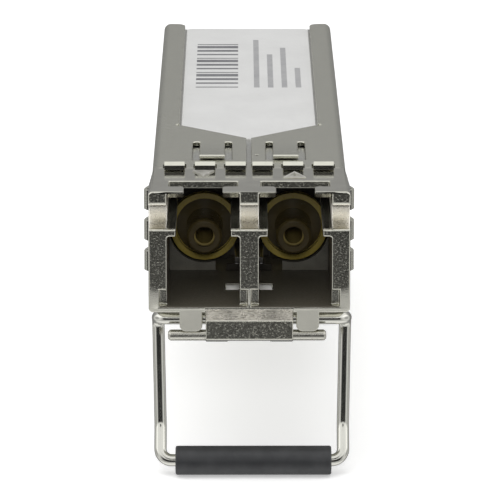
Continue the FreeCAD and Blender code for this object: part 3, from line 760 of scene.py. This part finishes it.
# Print on the label, plain bars and strips placed from its front left corner
PRINT_LIFT = 0.004 * MM
PRINT_DEPTH = 0.01 * MM
PRINT_START = 17.0 * MM
BAR_COUNT = 13
BAR_WIDTHS = 4
BAR_PITCH = 1.3 * MM
BAR_THINNEST = 0.22
BAR_STEP = 0.16
BAR_MARGIN = 0.9 * MM
BAR_LENGTH = 3.2 * MM
STRIP_LENGTHS = (17.5 * MM, 12.0 * MM, 14.5 * MM, 7.0 * MM)
STRIP_MARGIN = 5.3 * MM
STRIP_PITCH = 1.05 * MM
STRIP_W = 0.42 * MM


def add_print(name, rectangles, finish):
    """Thin ink sunk into the label, as rectangles (x0, x1, y0, y1)."""
    low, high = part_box("label")
    top = high[2] + PRINT_LIFT
    bm = bmesh.new()
    for x0, x1, y0, y1 in rectangles:
        corners = ((x0, y0), (x1, y0), (x1, y1), (x0, y1))
        add_slab(bm, [(low[0] + x, low[1] + y, top) for x, y in corners], (0, 0, -PRINT_DEPTH))
    bmesh.ops.recalc_face_normals(bm, faces=bm.faces)
    as_piece(name, bm, "label", "module", finish)


def add_label_print():
    bars = []
    for i in range(BAR_COUNT):
        y = PRINT_START + i * BAR_PITCH
        width = BAR_PITCH * (BAR_THINNEST + BAR_STEP * (i % BAR_WIDTHS))
        bars.append((BAR_MARGIN, BAR_MARGIN + BAR_LENGTH, y, y + width))
    add_print("label_bars", bars, "bar_ink")
    strips = []
    for i, length in enumerate(STRIP_LENGTHS):
        x = STRIP_MARGIN + i * STRIP_PITCH
        strips.append((x, x + STRIP_W, PRINT_START, PRINT_START + length))
    add_print("label_strips", strips, "strip_ink")


# Bail wire, a round wire bent on a jig, with the two cam pins at its inner ends
WIRE_R = 0.425 * MM
JOURNAL = joint_at["bail_hinge"]
JOURNAL_END = 1.75 * MM
BAIL_LEAN = radians(11.5)
BAIL_SHIFT = 0.17 * MM
LEG_X = 6.43 * MM
LEG_TAPER = 0.15 * MM
LEG_BACK = 2.0 * MM
LEG_LEN = 7.52 * MM
GRIP_FORWARD = 1.0 * MM
GRIP_DROP = 9.86 * MM
BEND_R = 0.8 * MM
KINK_R = 1.6 * MM
CAM_R = 0.25 * MM
CAM_THROW = 0.17 * MM
CAM_SPAN = (0.3 * MM, 1.95 * MM)
WIRE_SIDES = 32
BEND_STEP = radians(6)
WIRE_CREASE = radians(40)


def wire_route():
    """Corner points and bend radii of the whole bail from one journal's end to the other's."""
    leg_y = JOURNAL.y + LEG_BACK
    low_x = LEG_X - LEG_TAPER
    right = [
        (JOURNAL_END, JOURNAL.y, JOURNAL.z),
        (LEG_X, JOURNAL.y, JOURNAL.z),
        (LEG_X, leg_y, JOURNAL.z),
        (low_x, leg_y, JOURNAL.z - LEG_LEN),
        (low_x, leg_y - GRIP_FORWARD, JOURNAL.z - GRIP_DROP),
    ]
    left = [(-x, y, z) for x, y, z in reversed(right)]
    tilt = Matrix.Rotation(-BAIL_LEAN, 4, "X")
    lean = Matrix.Translation(JOURNAL) @ tilt @ Matrix.Translation(-JOURNAL)
    bends = [BEND_R, BEND_R, KINK_R, BEND_R]
    return [lean @ Vector(p) for p in right + left], bends + bends[::-1]


def rounded_route(points, bends):
    """The route with each corner turned into small steps along a tangent arc."""
    route = [points[0]]
    for before, corner, after, bend in zip(points, points[1:], points[2:], bends):
        into = (corner - before).normalized()
        out = (after - corner).normalized()
        turn = into.angle(out)
        start = corner - into * bend * tan(turn / 2)
        axis = into.cross(out).normalized()
        centre = start + axis.cross(into) * bend
        steps = ceil(turn / BEND_STEP)
        for i in range(steps + 1):
            route.append(centre + Matrix.Rotation(turn * i / steps, 3, axis) @ (start - centre))
    route.append(points[-1])
    return route


def add_tube(bm, route, radius):
    """A closed round tube along a route, its sections carried along without twist."""
    rings = []
    side = Vector((0, 0, 1))
    for i, point in enumerate(route):
        before = route[max(i - 1, 0)]
        after = route[min(i + 1, len(route) - 1)]
        along = (after - before).normalized()
        side = (side - along * side.dot(along)).normalized()
        up = along.cross(side)
        rings.append([bm.verts.new(point + (side * cos(a) + up * sin(a)) * radius)
                      for a in (2 * pi * k / WIRE_SIDES for k in range(WIRE_SIDES))])
    for a, b in zip(rings, rings[1:]):
        for k in range(WIRE_SIDES):
            bm.faces.new((a[k], a[(k + 1) % WIRE_SIDES], b[(k + 1) % WIRE_SIDES], b[k]))
    bm.faces.new(rings[0][::-1])
    bm.faces.new(rings[-1])


def add_bail_wire():
    bm = bmesh.new()
    add_tube(bm, rounded_route(*wire_route()), WIRE_R)
    for side in (-1, 1):
        add_tube(bm, [Vector((side * x, JOURNAL.y, JOURNAL.z - CAM_THROW)) for x in CAM_SPAN], CAM_R)
    bmesh.ops.translate(bm, verts=bm.verts, vec=(BAIL_SHIFT, 0, 0))
    bmesh.ops.recalc_face_normals(bm, faces=bm.faces)
    piece = as_piece("bail_wire_bent", bm, "bail_wire", "bail")
    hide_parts("bail_wire")
    for face in piece.data.polygons:
        face.use_smooth = True
    piece.data.set_sharp_from_angle(angle=WIRE_CREASE)


def dress_nodes():
    """A finish on each CAD node that still shows."""
    for name, node in nodes.items():
        if not node.hide_render:
            node.data.materials.clear()
            node.data.materials.append(finishes[slot_of[name]])


# Scene
add_camera()
studio_world()
add_floor()
add_lamp("key", at=(-0.10, -0.05, 0.60), aim=(0, 0.02, 0), size=0.6, power=1.4)
add_lamp("port_fill", at=(0, -0.28, 0.105), aim=(0, 0, 0), size=0.05, power=0.16)

add_nose()
add_case()
softened("lid_plate_edge", "inner_lid", "module", PLATE_EDGE)
softened("holder_block", "osa_holder", "module", FINE_EDGE)
softened("stop_pin_rounded", "stop_pin", "module", PLATE_EDGE)
add_lever()
softened("grip_tube", "grip_sleeve", "bail", GRIP_EDGE)
add_receptacle("tx")
add_receptacle("rx")
add_ledges()
add_label_print()
add_bail_wire()
dress_nodes()

scene.view_settings.view_transform = "Standard"
